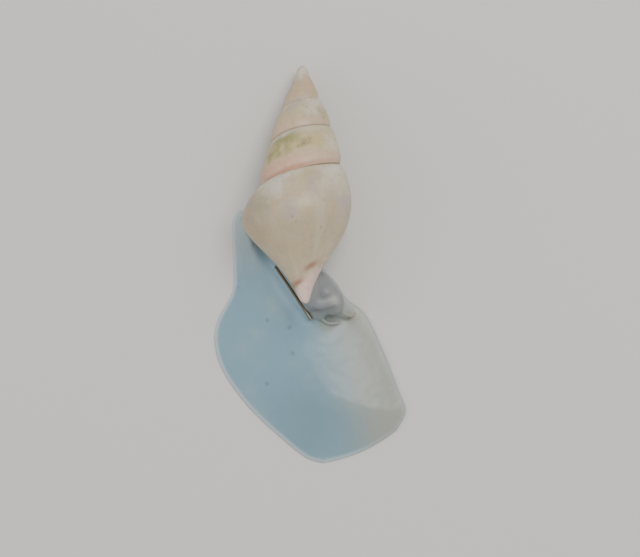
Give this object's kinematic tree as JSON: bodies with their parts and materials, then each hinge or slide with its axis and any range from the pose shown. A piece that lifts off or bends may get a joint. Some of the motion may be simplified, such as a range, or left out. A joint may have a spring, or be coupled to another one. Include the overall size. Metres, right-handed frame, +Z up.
{
  "type": "plough snail",
  "caption": "Sea snail with a smooth, high-spired spiral shell lying on its side and a broad, flat, fan-shaped foot spread out from under the shell's lip",
  "frame": {"origin": "middle of the whole animal's outline from above, on the floor it rests on", "axes": "+Z up, -Y towards the front of the snail, +X to its right"},
  "size_m": [0.0334, 0.0694, 0.0178],
  "materials": {
    "shell": "satin",
    "flesh": "wet satin",
    "horn": "satin"
  },
  "bodies": {
    "root": {"shell": "shell", "operculum": "horn", "foot_metapodium": "flesh", "foot_mesopodium": "flesh", "foot_propodium": "flesh", "body_stalk": "flesh", "head": "flesh", "tentacle_left": "flesh", "tentacle_right": "flesh", "siphon": "flesh"}
  },
  "joints": []
}
